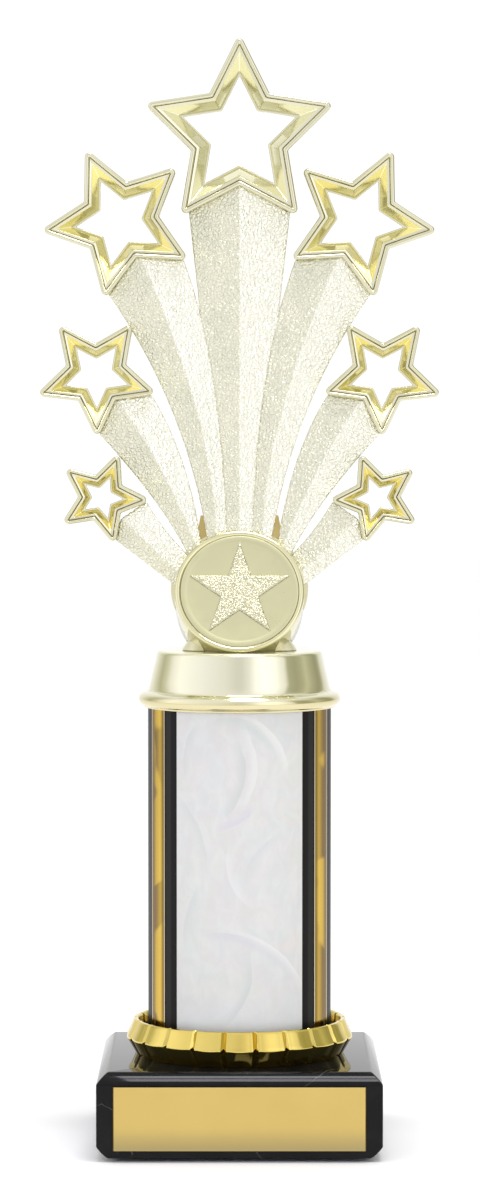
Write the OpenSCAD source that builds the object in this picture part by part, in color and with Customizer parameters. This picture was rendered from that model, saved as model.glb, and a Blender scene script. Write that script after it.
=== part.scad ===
// Column trophy: a star-spray topper on a round column, clamped to a marble base by one tie rod.
// Frame: origin at the middle of the resting plane, Z up, the front with the name plate towards -Y.

/* [Base] */
// Width and depth of the square marble base
base_w = 60.4; // [56:0.2:70]
// Height of the marble block
base_h = 18; // [15:0.5:26]
// Chamfer along the edges of the block
base_chamfer = 2.4; // [1:0.1:3]
// Height of the four pads under the block
pad_h = 0.8; // [0.5:0.1:2]

/* [Name plate] */
// Width of the plate
plate_w = 53.4; // [30:0.2:55]
// Height of the plate
plate_h = 13.6; // [8:0.2:14]
// Thickness of the plate
plate_t = 0.6; // [0.4:0.1:1]

/* [Column] */
// Outer diameter of the column
column_d = 40; // [36:0.5:42]
// Length of the column tube
column_len = 75; // [50:1:140]
// Angle that each pearl panel covers
panel_angle = 84; // [60:2:100]
// Angle between the middle of the front panel and the near edge of a gold strip
strip_start = 53.3; // [51:0.1:60]
// Angle that each gold strip covers
strip_angle = 16.9; // [8:0.1:25]

/* [Fluted ring] */
// Number of pleats round the ring
pleats = 22; // [16:1:28]
// Radius of the pleats at their widest
ring_r = 24.6; // [24:0.1:26]
// Depth of the grooves between pleats
pleat_depth = 0.7; // [0.4:0.1:1.4]
// Height of the ring over the marble
ring_h = 7.6; // [7:0.1:10]

/* [Topper] */
// Height of the cap over the column
cap_h = 12.3; // [11:0.1:16]
// Height of the middle of the medallion over the top of the cap
medal_rise = 13.1; // [13:0.1:15]
// Backward tilt of the medallion's face
medal_tilt = 23; // [0:1:24]
// Outer radius of the medallion's rim
rim_r = 13.9; // [13.7:0.1:14.2]
// Radius of the centre disc that the rim holds
disc_r = 12.5; // [11.5:0.1:12.6]
// Width of the rolled bead round each star
bead_w = 1.05; // [0.8:0.05:1.3]
// Slope of the trails' ridges
ridge_slope = 0.23; // [0.1:0.01:0.35]

/* [Tie rod] */
// Diameter of the rod
rod_d = 5; // [4:0.5:6]
// Clearance round the rod
rod_gap = 0.3; // [0.2:0.05:0.5]

/* [Hidden] */
$fn = 96;

// Heights of the stack, from the resting plane up
base_top = pad_h + base_h;
ring_floor = 2;
column_z = base_top + ring_floor;
column_top = column_z + column_len;
cap_z = column_top - 1.8;
cap_top = cap_z + cap_h;
medal_z = cap_top + medal_rise;

// Base and its hardware
pad_r = 4;
pad_inset = 9;
pocket_r = 8.5;
pocket_h = 7;
washer_r = 7.5;
washer_t = 1;
nut_flats = 8;
nut_h = 4;
rod_r = rod_d / 2;
bore_r = rod_r + rod_gap;
tape_t = 0.3;
tape_margin = 2;
plate_z = pad_h + 8.5;
plate_y = -base_w / 2;

// Column
column_r = column_d / 2;
foil_t = 0.2;
tube_wall = 1.8;

// Topper: the flat back of the moulding, and the front of its edges
back_y = 1.6;
edge_y = -0.8;

// Stars: radius of the inner corners over the tips', radius that rounds a tip, and what that takes off it
corner_ratio = 0.535;
tip_round = 1;
tip_loss = 1.26;

// Each star: x, height over the medallion's middle, tip radius, turn, width of frame, depth in front
STAR_TOP = [0, 97.6, 20.5, 0, 4.05, 4.4];
STAR_UPPER = [-25.8, 79.1, 16.2, 25, 3.5, 3.9];
STAR_MIDDLE = [-30.8, 46.2, 12.9, 36.8, 3.05, 3.5];
STAR_LOWER = [-29.6, 19.7, 9.9, 51.3, 2.75, 3.1];

// Each trail: outer edge, ridge and inner edge, as quadratic curves from the star to the medallion
TRAIL_CENTRE = [
    [[-10.9, 82.2], [-7, 47.1], [-3.1, 12]],
    [[0, 87.9], [0, 50], [0, 12]],
    [[10.9, 82.2], [7, 47.1], [3.1, 12]]
];
TRAIL_UPPER = [
    [[-28.8, 64.5], [-11.5, 40.4], [-6.9, 11]],
    [[-21.4, 71.9], [-5.4, 36.2], [-5, 11.6]],
    [[-12.4, 71.7], [-3.6, 48], [-2.8, 12]]
];
TRAIL_MIDDLE = [
    [[-30.3, 33.7], [-16.9, 19.3], [-11.1, 7.7]],
    [[-26.6, 41.3], [-17.7, 29.9], [-9.4, 9.8]],
    [[-19.2, 42], [-11.4, 29.8], [-8.6, 11.4]]
];
TRAIL_LOWER = [
    [[-26.9, 10.8], [-20.4, 6], [-12.4, -0.2]],
    [[-25.4, 15.4], [-19.5, 9.5], [-12, 2.6]],
    [[-20.2, 18.9], [-16.5, 12.3], [-10.6, 6.6]]
];
WEB = [[-8.4, 15.9], [-7.5, 15.9], [-6.2, 9.5], [-9.6, 9.5]];

// Medallion: a cup that leans back, with a rim round its face, and a flattened disc behind it
drum_r = 14.8;
drum_flat = 0.88;
drum_y = -0.5;
face_y = -7.2;
recess_r = 12.7;
recess_depth = 1.5;
rim_round = 0.6;
cup_reach = 25;
pad_disc_t = 0.5;
disc_t = 0.7;
relief_t = 0.35;
relief_r = 11.6;
relief_ratio = 0.382;

// Foot of the topper
foot_w = 24.8;
foot_d = 13;
foot_neck_w = 19;
foot_neck_d = 5.2;
foot_h = 7.5;
insert_flats = 8;
insert_h = 4;
insert_lift = 0.8;

// ---------- Points by formula ----------

function turn(p, a) = [p[0] * cos(a) - p[1] * sin(a), p[0] * sin(a) + p[1] * cos(a)];

function quadratic(p, t) = (1 - t) * (1 - t) * p[0] + 2 * t * (1 - t) * p[1] + t * t * p[2];

// Distance from a star's centre to its edges, for tip radius r
function apothem(r) =
    let (tip = r + tip_loss, corner = corner_ratio * r)
    tip * corner * sin(36) / norm([tip - corner * cos(36), corner * sin(36)]);

// One tip as five points on an arc of radius round_r between two edges that would meet at radius tip
function tip_points(tip, half_angle, round_r) =
    [for (i = [-2:2])
        let (a = i * (90 - half_angle) / 2)
        [tip - round_r / sin(half_angle) + round_r * cos(a), round_r * sin(a)]];

// The outline moved inward by d, anticlockwise: five rounded tips and the five corners between them
function star_inset(r, d) =
    let (
        scale_in = 1 - d / apothem(r),
        tip = (r + tip_loss) * scale_in,
        corner = corner_ratio * r * scale_in,
        points = tip_points(tip, asin(apothem(r) / (r + tip_loss)), max(0.12, tip_round - d))
    )
    [for (k = [0:4], q = [0:5])
        let (a = 90 + 72 * k)
        q < 5 ? turn(points[q], a) : turn([corner, 0], a + 36)];

// Depth profile of a star's frame: [distance inward, y], from the back round the outside to the hole
function star_profile(width, depth) =
    [
        [0.35, back_y],
        [0, back_y - 0.35],
        [0, -depth + 0.75],
        [0.14, -depth + 0.3],
        [0.38, -depth + 0.06],
        [0.58, -depth],
        [0.82, -depth + 0.12],
        [bead_w, -depth + 0.5],
        [width - 0.5, -1.25],
        [width - 0.3, -1.3],
        [width - 0.08, -1.15],
        [width, -0.9],
        [width, back_y - 0.35],
        [width - 0.35, back_y]
    ];

// Faces of a closed tube of rings: rings count, points in each ring
function torus_faces(rings, n) =
    [for (i = [0:rings - 1], j = [0:n - 1])
        let (a = i * n, b = ((i + 1) % rings) * n, k = (j + 1) % n)
        each [[a + j, a + k, b + j], [a + k, b + k, b + j]]];

// Faces of a bar of sections, closed by a fan at each end
function bar_faces(sections, n) =
    concat(
        [for (i = [0:sections - 2], j = [0:n - 1])
            let (a = i * n, b = (i + 1) * n, k = (j + 1) % n)
            each [[a + j, b + j, a + k], [a + k, b + j, b + k]]],
        [for (j = [1:n - 2]) [0, j, j + 1]],
        [for (a = (sections - 1) * n, j = [1:n - 2]) [a, a + j + 1, a + j]]
    );

// ---------- Base ----------

module base_block() {
    half = base_w / 2;
    c = base_chamfer;
    intersection() {
        rotate([90, 0, 0])
            linear_extrude(base_w, center = true)
                polygon([[-half + c, 0], [half - c, 0], [half, c], [half, base_h - c], [half - c, base_h],
                    [-half + c, base_h], [-half, base_h - c], [-half, c]]);
        rotate([90, 0, 90])
            linear_extrude(base_w, center = true)
                polygon([[-half, 0], [half, 0], [half, base_h - c], [half - c, base_h],
                    [-half + c, base_h], [-half, base_h - c]]);
    }
}

module marble_base() {
    color("#202020")
        difference() {
            translate([0, 0, pad_h]) base_block();
            translate([0, 0, -1]) cylinder(h = base_top + 2, r = bore_r);
            translate([0, 0, -1]) cylinder(h = pad_h + pocket_h + 1, r = pocket_r);
        }
}

module base_pads() {
    p = base_w / 2 - pad_inset;
    color("#1a1a1a")
        for (x = [-p, p], y = [-p, p])
            translate([x, y, 0]) cylinder(h = pad_h, r = pad_r);
}

module hex_nut(flats, height, bore) {
    difference() {
        cylinder(h = height, r = flats / 2 / cos(30), $fn = 6);
        translate([0, 0, -1]) cylinder(h = height + 2, r = bore);
    }
}

washer_z = pad_h + pocket_h - washer_t;

module tie_rod() {
    color("#b8b8b8")
        translate([0, 0, washer_z - nut_h - 1])
            cylinder(h = cap_top + insert_lift + insert_h - (washer_z - nut_h - 1), r = rod_r);
}

module base_washer() {
    color("#c0c0c0")
        translate([0, 0, washer_z])
            difference() {
                cylinder(h = washer_t, r = washer_r);
                translate([0, 0, -1]) cylinder(h = washer_t + 2, r = bore_r);
            }
}

module base_nut() {
    color("#c0c0c0") translate([0, 0, washer_z - nut_h]) hex_nut(nut_flats, nut_h, rod_r);
}

// ---------- Name plate ----------

module plate_tape() {
    color("#e8e4d8")
        translate([-plate_w / 2 + tape_margin, plate_y - tape_t, plate_z - plate_h / 2 + tape_margin])
            cube([plate_w - 2 * tape_margin, tape_t, plate_h - 2 * tape_margin]);
}

module name_plate() {
    color("#d8bc70")
        translate([-plate_w / 2, plate_y - tape_t - plate_t, plate_z - plate_h / 2])
            cube([plate_w, plate_t, plate_h]);
}

// ---------- Fluted ring ----------

// Pleats bulge between narrow grooves
function pleat_r(r, a, depth) = r - depth * (1 - abs(cos(pleats * a / 2)));

// Outer profile of the ring: a band that flares down to its edge, over an underside that tapers in.
// [height, radius, groove depth as a fraction]
edge_h = 3.4;
RING_PROFILE = [
    [0, ring_r - 2.1, 0.4],
    [edge_h - 0.25, ring_r - 0.25, 0.9],
    [edge_h, ring_r - 0.05, 1],
    [edge_h + 0.4, ring_r, 1],
    [edge_h + 1, ring_r - 0.15, 1],
    [ring_h - 0.6, ring_r - 1.35, 0.8],
    [ring_h - 0.2, ring_r - 1.6, 0.75],
    [ring_h, ring_r - 2.1, 0.6]
];
PLEAT_STEPS = 8;

module ring_body() {
    n = pleats * PLEAT_STEPS;
    rings = len(RING_PROFILE);
    points = [for (p = RING_PROFILE, j = [0:n - 1])
        let (a = j * 360 / n - 90, r = pleat_r(p[1], a + 90, pleat_depth * p[2]))
        [r * cos(a), r * sin(a), p[0]]];
    sides = [for (i = [0:rings - 2], j = [0:n - 1])
        let (a = i * n, b = (i + 1) * n, k = (j + 1) % n)
        each [[a + j, b + j, a + k], [a + k, b + j, b + k]]];
    polyhedron(concat(points, [[0, 0, 0], [0, 0, ring_h]]), concat(
        sides,
        [for (j = [0:n - 1]) [rings * n, j, (j + 1) % n]],
        [for (j = [0:n - 1]) [rings * n + 1, (rings - 1) * n + (j + 1) % n, (rings - 1) * n + j]]
    ));
}

ring_wall_r = ring_r - 3;

module fluted_ring() {
    color("#e8cf6a")
        difference() {
            translate([0, 0, base_top]) ring_body();
            translate([0, 0, column_z]) cylinder(h = ring_h, r = ring_wall_r);
            translate([0, 0, base_top - 1]) cylinder(h = ring_h, r = bore_r);
        }
}

// ---------- Column ----------

module column_tube() {
    color("#1c1c1e")
        translate([0, 0, column_z])
            difference() {
                cylinder(h = column_len, r = column_r - foil_t);
                translate([0, 0, -1]) cylinder(h = column_len + 2, r = column_r - foil_t - tube_wall);
            }
}

// A foil of the column that starts at angle a, measured from +X, and covers angle w
module foil(a, w) {
    translate([0, 0, column_z])
        rotate([0, 0, a])
            rotate_extrude(angle = w)
                translate([column_r - foil_t, 0]) square([foil_t, column_len]);
}

module panel(middle) {
    color("#e9e9e6") foil(middle - panel_angle / 2, panel_angle);
}

module strip(start) {
    color("#b9933c") foil(start, strip_angle);
}

// ---------- Cap, foot and medallion ----------

module column_cap() {
    seat_r = column_r + 0.15;
    color("#ece3b0")
        rotate_extrude()
            polygon(concat(
                [[seat_r, cap_z], [column_r + 0.7, cap_z]],
                [for (a = [-75:15:75]) [column_r + 0.35 + 1.45 * cos(a), cap_z + 1.8 + 1.5 * sin(a)]],
                [[column_r - 0.1, cap_z + 3.55], [column_r - 0.4, cap_z + 4]],
                [for (a = [0:15:90]) [column_r - 3.1 + 1 * cos(a), cap_top - 1 + 1 * sin(a)]],
                [[bore_r, cap_top], [bore_r, cap_top - 1.8], [column_r - 4.2, cap_top - 1.8],
                    [column_r - 2, cap_z + 4], [column_r - 2, column_top], [seat_r, column_top]]
            ));
}

module chamfered_slab(w, d, c) {
    linear_extrude(0.01)
        polygon([[w / 2 - c, -d / 2], [w / 2, -d / 2 + c], [w / 2, d / 2 - c], [w / 2 - c, d / 2],
            [-w / 2 + c, d / 2], [-w / 2, d / 2 - c], [-w / 2, -d / 2 + c], [-w / 2 + c, -d / 2]]);
}

module topper_foot() {
    color("#ece3b0")
        difference() {
            translate([0, 0, cap_top])
                hull() {
                    chamfered_slab(foot_w, foot_d, 2.6);
                    translate([0, 0, 1]) chamfered_slab(foot_w - 0.8, foot_d - 0.6, 2.6);
                    translate([0, 0, foot_h - 0.01]) chamfered_slab(foot_neck_w, foot_neck_d, 1.6);
                }
            cup_solid();
            nut_pocket();
        }
}

// The hexagonal hole that holds the brass nut, open below
module nut_pocket() {
    translate([0, 0, cap_top - 1])
        cylinder(h = insert_h + insert_lift + 1, r = insert_flats / 2 / cos(30), $fn = 6);
}

module topper_nut() {
    color("#c9a24a") translate([0, 0, cap_top + insert_lift]) hex_nut(insert_flats, insert_h, rod_r);
}

// Puts +Z along the normal of the medallion's face
module on_face() {
    translate([0, face_y, medal_z]) rotate([90 - medal_tilt, 0, 0]) children();
}

// The room over the cap in front of depth y, which the medallion is cut to
module cup_space(y) {
    translate([-cup_reach, y - cup_reach, cap_top]) cube([2 * cup_reach, cup_reach, 2 * cup_reach]);
}

module back_disc(beyond = 0) {
    intersection() {
        translate([0, back_y + beyond, medal_z])
            rotate([90, 0, 0])
                scale([1, drum_flat, 1]) cylinder(h = back_y - drum_y + beyond, r = drum_r);
        cup_space(back_y + 2);
    }
}

// The cup as a closed solid, for cutting what meets it; it may reach further back than the real one
module cup_solid(beyond = 0) {
    back_disc(beyond);
    intersection() {
        on_face() translate([0, 0, -cup_reach]) cylinder(h = cup_reach - rim_round, r = rim_r);
        cup_space(drum_y);
    }
}

module medal_cup() {
    rim_middle = (rim_r + recess_r) / 2;
    rim_half = (rim_r - recess_r) / 2;
    color("#ece3b0")
        difference() {
            union() {
                back_disc();
                intersection() {
                    on_face()
                        rotate_extrude()
                            polygon(concat(
                                [[0, -cup_reach], [rim_r, -cup_reach]],
                                [for (a = [0:15:180])
                                    [rim_middle + rim_half * cos(a), -rim_round + rim_round * sin(a)]],
                                [[recess_r, -recess_depth], [0, -recess_depth]]
                            ));
                    cup_space(drum_y);
                }
            }
            nut_pocket();
        }
}

module disc_pad() {
    color("#e8e4d8") on_face() translate([0, 0, -recess_depth]) cylinder(h = pad_disc_t, r = disc_r - 1.5);
}

module medal_disc() {
    color("#d9d3a0")
        on_face()
            translate([0, 0, -recess_depth + pad_disc_t])
                union() {
                    cylinder(h = disc_t, r = disc_r);
                    linear_extrude(disc_t + relief_t)
                        polygon([for (k = [0:9])
                            turn([k % 2 == 0 ? relief_r : relief_r * relief_ratio, 0], 90 + 36 * k)]);
                }
}

// ---------- Stars ----------

// Moves a star's or trail's flat drawing up to the medallion and turns its depth towards -Y
module upright() {
    translate([0, 0, medal_z]) rotate([90, 0, 0]) children();
}

module star_frame(s) {
    profile = star_profile(s[4], s[5]);
    outline = [for (p = profile) star_inset(s[2], p[0])];
    points = [for (i = [0:len(profile) - 1], q = outline[i])
        let (p = turn(q, s[3])) [p[0] + s[0], p[1] + s[1], -profile[i][1]]];
    color("#ece3b0") upright() polyhedron(points, torus_faces(len(profile), len(outline[0])));
}

// The room that a star and its hole take, for cutting the trail that ends on it
module star_room(s) {
    upright()
        translate([s[0], s[1], -5])
            rotate([0, 0, s[3]])
                linear_extrude(15) polygon(star_inset(s[2], 0));
}

// ---------- Trails ----------

TRAIL_STEPS = 14;
// The trails run past the ends of their curves, into the cup
TRAIL_REACH = 1.06;

module trail_bar(t) {
    sections = [for (i = [TRAIL_STEPS:-1:0])
        let (
            u = TRAIL_REACH * i / TRAIL_STEPS,
            l = quadratic(t[0], u),
            m = quadratic(t[1], u),
            r = quadratic(t[2], u),
            h = ridge_slope * (norm(l - m) + norm(r - m)) / 2
        )
        each [
            [l[0], l[1], -back_y],
            [l[0], l[1], -edge_y],
            [m[0], m[1], -edge_y + h],
            [r[0], r[1], -edge_y],
            [r[0], r[1], -back_y]
        ]];
    upright() polyhedron(sections, bar_faces(TRAIL_STEPS + 1, 5));
}

// A trail's curves on the other side of the middle
function opposite(t) = [for (curve = t) [for (p = curve) [-p[0], p[1]]]];

// The room of a trail, front to back, for cutting what lies under it
module trail_room(t) {
    left = [for (i = [0:TRAIL_STEPS]) quadratic(t[0], TRAIL_REACH * i / TRAIL_STEPS)];
    right = [for (i = [TRAIL_STEPS:-1:0]) quadratic(t[2], TRAIL_REACH * i / TRAIL_STEPS)];
    upright() translate([0, 0, -5]) linear_extrude(15) polygon(concat(left, right));
}

module trail_centre() {
    color("#e6dfb4")
        difference() {
            trail_bar(TRAIL_CENTRE);
            trail_room(TRAIL_UPPER);
            trail_room(opposite(TRAIL_UPPER));
            star_room(STAR_TOP);
            cup_solid(1);
        }
}

module trail_upper() {
    color("#e6dfb4")
        difference() {
            trail_bar(TRAIL_UPPER);
            star_room(STAR_UPPER);
            cup_solid(1);
        }
}

module trail_middle() {
    color("#e6dfb4")
        difference() {
            trail_bar(TRAIL_MIDDLE);
            star_room(STAR_MIDDLE);
            cup_solid(1);
        }
}

module trail_lower() {
    color("#e6dfb4")
        difference() {
            trail_bar(TRAIL_LOWER);
            star_room(STAR_LOWER);
            cup_solid(1);
        }
}

module web() {
    color("#d9b860")
        difference() {
            upright() translate([0, 0, -back_y]) linear_extrude(back_y + 0.2) polygon(WEB);
            trail_room(TRAIL_UPPER);
            trail_room(TRAIL_MIDDLE);
            cup_solid(1);
        }
}

module right_hand() {
    mirror([1, 0, 0]) children();
}

marble_base();
base_pads();
tie_rod();
base_washer();
base_nut();
plate_tape();
name_plate();
fluted_ring();
column_tube();
panel(-90);  // panel_front
panel(90);  // panel_back
strip(270 - strip_start - strip_angle);  // strip_front_left
strip(-90 + strip_start);  // strip_front_right
strip(90 + strip_start);  // strip_back_left
strip(90 - strip_start - strip_angle);  // strip_back_right
column_cap();
topper_foot();
topper_nut();
medal_cup();
disc_pad();
medal_disc();
star_frame(STAR_TOP);  // star_top
star_frame(STAR_UPPER);  // star_upper_left
right_hand() star_frame(STAR_UPPER);  // star_upper_right
star_frame(STAR_MIDDLE);  // star_middle_left
right_hand() star_frame(STAR_MIDDLE);  // star_middle_right
star_frame(STAR_LOWER);  // star_lower_left
right_hand() star_frame(STAR_LOWER);  // star_lower_right
trail_centre();
trail_upper();  // trail_upper_left
right_hand() trail_upper();  // trail_upper_right
trail_middle();  // trail_middle_left
right_hand() trail_middle();  // trail_middle_right
trail_lower();  // trail_lower_left
right_hand() trail_lower();  // trail_lower_right
web();  // web_left
right_hand() web();  // web_right
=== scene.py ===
"""Looks of the column trophy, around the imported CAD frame. Metres, Z up, the front towards -Y."""

import math

import bmesh
import bpy
import numpy as np
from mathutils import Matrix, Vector, kdtree


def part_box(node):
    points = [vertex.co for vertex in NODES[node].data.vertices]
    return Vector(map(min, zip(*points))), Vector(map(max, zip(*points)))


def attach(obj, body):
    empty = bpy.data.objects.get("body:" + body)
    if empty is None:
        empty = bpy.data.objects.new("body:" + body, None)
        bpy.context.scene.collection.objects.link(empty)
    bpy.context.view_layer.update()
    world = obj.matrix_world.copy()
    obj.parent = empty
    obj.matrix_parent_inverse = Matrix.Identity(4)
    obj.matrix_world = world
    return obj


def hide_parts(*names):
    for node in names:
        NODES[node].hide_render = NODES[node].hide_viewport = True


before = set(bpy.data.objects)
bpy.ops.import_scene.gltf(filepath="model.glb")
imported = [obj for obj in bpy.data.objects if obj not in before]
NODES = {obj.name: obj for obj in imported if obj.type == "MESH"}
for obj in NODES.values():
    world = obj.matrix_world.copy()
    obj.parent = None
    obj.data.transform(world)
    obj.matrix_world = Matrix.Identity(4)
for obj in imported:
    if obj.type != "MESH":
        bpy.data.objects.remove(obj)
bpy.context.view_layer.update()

MM = 0.001
STARS = [n for n in NODES if n.startswith("star_")]
TRAILS = [n for n in NODES if n.startswith("trail_")]


# ---------- Camera, lights and floor ----------

CAMERA_DISTANCE = 0.9107
CAMERA_HEIGHT = 0.1633
CAMERA_PITCH = 2.91
LENS_MM = 126.534
SENSOR_HEIGHT_MM = 36.0


def make_camera():
    """A long lens in front of the trophy, looking a few degrees down."""
    data = bpy.data.cameras.new("camera")
    data.sensor_fit = "VERTICAL"
    data.sensor_height = SENSOR_HEIGHT_MM
    data.lens = LENS_MM
    data.clip_start = 0.05
    data.clip_end = 20
    cam = bpy.data.objects.new("camera", data)
    cam.location = (0, -CAMERA_DISTANCE, CAMERA_HEIGHT)
    cam.rotation_euler = (math.radians(90 - CAMERA_PITCH), 0, 0)
    bpy.context.scene.collection.objects.link(cam)
    bpy.context.scene.camera = cam


LAMP_PLACE_X, LAMP_HEIGHT = 0.1, 0.95
LAMP_DEPTHS = {"overhead_near": -0.2375, "overhead_far": -0.1025}
LAMP_SIZE = (0.38, 0.105)
LAMP_POWER = 1.6
LAMP_COLOR = (0.96, 0.95, 1.0)


def make_lamps():
    """Two soft boxes overhead, which the polished bevels and the top of the block mirror."""
    for name, depth in LAMP_DEPTHS.items():
        data = bpy.data.lights.new(name, "AREA")
        data.shape = "RECTANGLE"
        data.size, data.size_y = LAMP_SIZE
        data.energy = LAMP_POWER
        data.color = LAMP_COLOR
        light = bpy.data.objects.new(name, data)
        light.location = (LAMP_PLACE_X, depth, LAMP_HEIGHT)
        light.rotation_euler = Vector((0, 0, -LAMP_HEIGHT)).to_track_quat("-Z", "Y").to_euler()
        bpy.context.scene.collection.objects.link(light)


# The studio round the trophy: (degrees from the viewer's side, towards +X positive; level; blue over red)
STUDIO = [
    (-180, 1.13, 1.00), (-150, 1.00, 0.96), (-137, 0.81, 0.88), (-126, 0.60, 0.78), (-114, 0.81, 0.86),
    (-104, 1.13, 1.04), (-88, 1.38, 1.08), (-60, 1.24, 1.10), (-40, 1.13, 1.10), (-20, 1.05, 1.08),
    (-4, 0.90, 1.06), (3, 0.90, 1.06), (14, 1.10, 1.08), (22, 1.38, 1.10), (32, 1.60, 1.08),
    (46, 1.55, 1.06), (57, 1.25, 1.08), (65, 1.07, 1.0), (70, 0.55, 0.78), (82, 0.48, 0.74),
    (92, 0.55, 0.76), (101, 0.71, 0.78), (112, 0.55, 0.76), (125, 0.42, 0.72), (133, 0.48, 0.76),
    (142, 0.90, 0.94), (155, 1.02, 1.0), (180, 1.13, 1.0)
]
SKY_LEVEL = 1.1
BACKGROUND_LEVEL = 1.1


def make_world():
    """The studio's ring of panels for reflections and light, and plain white where the camera sees it."""
    world = bpy.data.worlds.new("studio")
    bpy.context.scene.world = world
    world.use_nodes = True
    tree = world.node_tree
    tree.nodes.clear()
    n = Nodes(tree)
    x, y, z = n.split(n.add("ShaderNodeTexCoord").outputs["Generated"])
    angle = n.math("ARCTAN2", x, n.math("MULTIPLY", y, -1.0))
    place = n.math("ADD", n.math("DIVIDE", angle, 2 * math.pi), 0.5)
    stops = [(deg / 360 + 0.5, (level / 2, level / 2, level * blue / 2)) for deg, level, blue in STUDIO]
    ring = n.mix_color(1.0, n.ramp(place, stops), (2.0, 2.0, 2.0), "MULTIPLY")
    lift = n.range(z, 0.45, 0.9, smooth=True)
    color = n.mix_color(lift, ring, (SKY_LEVEL, SKY_LEVEL, SKY_LEVEL))
    light = n.add("ShaderNodeBackground")
    n.link(color, light.inputs["Color"])
    seen = n.add("ShaderNodeBackground")
    seen.inputs["Color"].default_value = (1, 1, 1, 1)
    seen.inputs["Strength"].default_value = BACKGROUND_LEVEL
    path = n.add("ShaderNodeLightPath")
    choose = n.add("ShaderNodeMixShader")
    n.link(path.outputs["Is Camera Ray"], choose.inputs[0])
    n.link(light.outputs[0], choose.inputs[1])
    n.link(seen.outputs[0], choose.inputs[2])
    out = n.add("ShaderNodeOutputWorld")
    n.link(choose.outputs[0], out.inputs["Surface"])


def make_stage():
    """The white floor."""
    reach = 3.0
    corners = [(-reach, -reach, 0), (reach, -reach, 0), (reach, reach, 0), (-reach, reach, 0)]
    mesh = bpy.data.meshes.new("floor")
    mesh.from_pydata(corners, [], [(0, 1, 2, 3)])
    floor = bpy.data.objects.new("floor", mesh)
    bpy.context.scene.collection.objects.link(floor)
    floor.data.materials.append(new_material("floor_white", (0.95, 0.95, 0.95), 0.0, 0.6)[0])


# ---------- Material helpers ----------

class Nodes:
    """Short calls for building a node tree."""

    def __init__(self, tree):
        self.tree = tree

    def add(self, kind):
        return self.tree.nodes.new(kind)

    def link(self, a, b):
        self.tree.links.new(a, b)

    def put(self, value, socket):
        if isinstance(value, bpy.types.NodeSocket):
            self.link(value, socket)
        else:
            socket.default_value = value

    def math(self, operation, a, b=0.0, clamp=False):
        node = self.add("ShaderNodeMath")
        node.operation = operation
        node.use_clamp = clamp
        self.put(a, node.inputs[0])
        self.put(b, node.inputs[1])
        return node.outputs[0]

    def mix_color(self, factor, a, b, blend="MIX"):
        node = self.add("ShaderNodeMix")
        node.data_type = "RGBA"
        node.blend_type = blend
        self.put(factor, node.inputs[0])
        self.put((*a, 1) if isinstance(a, tuple) else a, node.inputs[6])
        self.put((*b, 1) if isinstance(b, tuple) else b, node.inputs[7])
        return node.outputs[2]

    def object_coords(self):
        return self.add("ShaderNodeTexCoord").outputs["Object"]

    def split(self, vector):
        node = self.add("ShaderNodeSeparateXYZ")
        self.link(vector, node.inputs[0])
        return tuple(node.outputs)

    def warped(self, vector, sway, reach):
        """The vector, moved by sway times reach."""
        node = self.add("ShaderNodeVectorMath")
        node.operation = "MULTIPLY_ADD"
        self.link(sway, node.inputs[0])
        node.inputs[1].default_value = reach
        self.link(vector, node.inputs[2])
        return node.outputs[0]

    def cells(self, vector, scale, feature="F1"):
        node = self.add("ShaderNodeTexVoronoi")
        node.feature = feature
        node.inputs["Scale"].default_value = scale
        self.link(vector, node.inputs["Vector"])
        return node.outputs["Distance"]

    def mapped(self, vector, scale=(1, 1, 1), rotation=(0, 0, 0), location=(0, 0, 0)):
        node = self.add("ShaderNodeMapping")
        node.inputs["Scale"].default_value = scale
        node.inputs["Rotation"].default_value = rotation
        node.inputs["Location"].default_value = location
        self.put(vector, node.inputs["Vector"])
        return node.outputs[0]

    def noise(self, vector, scale, detail=2.0, roughness=0.5, distortion=0.0):
        node = self.add("ShaderNodeTexNoise")
        node.inputs["Scale"].default_value = scale
        node.inputs["Detail"].default_value = detail
        node.inputs["Roughness"].default_value = roughness
        node.inputs["Distortion"].default_value = distortion
        self.put(vector, node.inputs["Vector"])
        return node.outputs[0]

    def ramp(self, value, stops):
        node = self.add("ShaderNodeValToRGB")
        elements = node.color_ramp.elements
        while len(elements) < len(stops):
            elements.new(0.5)
        for element, (position, color) in zip(elements, stops):
            element.position = position
            element.color = (*color, 1)
        self.put(value, node.inputs[0])
        return node.outputs["Color"]

    def range(self, value, low, high, to_low=0.0, to_high=1.0, smooth=False):
        node = self.add("ShaderNodeMapRange")
        if smooth:
            node.interpolation_type = "SMOOTHSTEP"
        for key, v in (("From Min", low), ("From Max", high), ("To Min", to_low), ("To Max", to_high)):
            node.inputs[key].default_value = v
        self.put(value, node.inputs["Value"])
        return node.outputs[0]

    def bump(self, height, distance, strength=1.0):
        node = self.add("ShaderNodeBump")
        node.inputs["Strength"].default_value = strength
        node.inputs["Distance"].default_value = distance
        self.put(height, node.inputs["Height"])
        return node.outputs[0]


def new_material(name, color, metallic, roughness, coat=0.0, coat_roughness=0.05):
    """A material with one Principled shader; gives the material, its Nodes and the shader."""
    material = bpy.data.materials.new(name)
    material.use_nodes = True
    tree = material.node_tree
    tree.nodes.clear()
    n = Nodes(tree)
    shader = n.add("ShaderNodeBsdfPrincipled")
    shader.inputs["Base Color"].default_value = (*color, 1)
    shader.inputs["Metallic"].default_value = metallic
    shader.inputs["Roughness"].default_value = roughness
    shader.inputs["IOR"].default_value = 1.5
    shader.inputs["Coat Weight"].default_value = coat
    shader.inputs["Coat Roughness"].default_value = coat_roughness
    out = n.add("ShaderNodeOutputMaterial")
    n.link(shader.outputs[0], out.inputs["Surface"])
    return material, n, shader


# ---------- Materials ----------

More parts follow.
